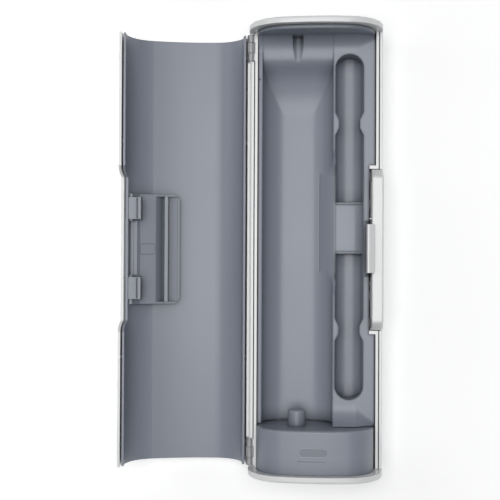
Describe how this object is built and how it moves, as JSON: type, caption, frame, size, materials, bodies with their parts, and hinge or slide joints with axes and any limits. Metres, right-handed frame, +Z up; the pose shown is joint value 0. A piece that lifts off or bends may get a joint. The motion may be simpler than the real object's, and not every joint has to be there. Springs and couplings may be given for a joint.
{
  "type": "electric_toothbrush_charging_travel_case",
  "caption": "White clamshell travel case for an electric toothbrush, open on its back, with grey moulded tray, charging dock with peg, brush-head wells and a sprung side latch.",
  "frame": {"origin": "centre of the base half's flat back", "axes": "+Y along the case away from the charger, +Z up out of the open base, +X towards the latch; the lid lies on the -X side"},
  "size_m": [0.1424, 0.243, 0.048],
  "materials": {
    "white_gloss": "smooth moulded white",
    "grey_satin": "fine satin blue-grey",
    "black_plastic": "plain moulded",
    "copper": "enamelled copper wire",
    "ferrite": "sintered ferrite",
    "board": "solder resist",
    "steel": "plain wire and screw steel",
    "brass_contact": "plated contact"
  },
  "bodies": {
    "base": {"base_shell": "white_gloss", "base_frame": "white_gloss", "top_end_cap": "white_gloss", "bottom_end_cap": "white_gloss", "inner_tray": "grey_satin", "dock_housing": "grey_satin", "charging_pin": "grey_satin", "coil_bobbin": "black_plastic", "charging_coil": "copper", "ferrite_core": "ferrite", "coil_leads": "copper", "charger_board": "board", "board_parts": "black_plastic", "board_screws": "steel", "power_socket": "black_plastic", "socket_contact": "brass_contact", "case_screws": "steel", "hinge_pins": "steel", "latch_pin": "steel", "latch_well": "black_plastic"},
    "lid": {"lid_shell": "white_gloss", "lid_liner": "grey_satin", "lid_catch_plate": "grey_satin"},
    "latch": {"latch_button": "white_gloss", "latch_springs": "steel"}
  },
  "joints": [
    {"name": "lid_hinge", "type": "hinge", "parent": "base", "child": "lid", "pos_m": [-0.0353, 0, 0.02415], "axis": [0, 1, 0], "range_deg": [0, 170]},
    {"name": "latch_hinge", "type": "hinge", "parent": "base", "child": "latch", "pos_m": [0.0303, 0, 0.0145], "axis": [0, 1, 0], "range_deg": [-5, 0], "stiffness_Nm_per_rad": 0.12, "springref_deg": 17.19}
  ]
}
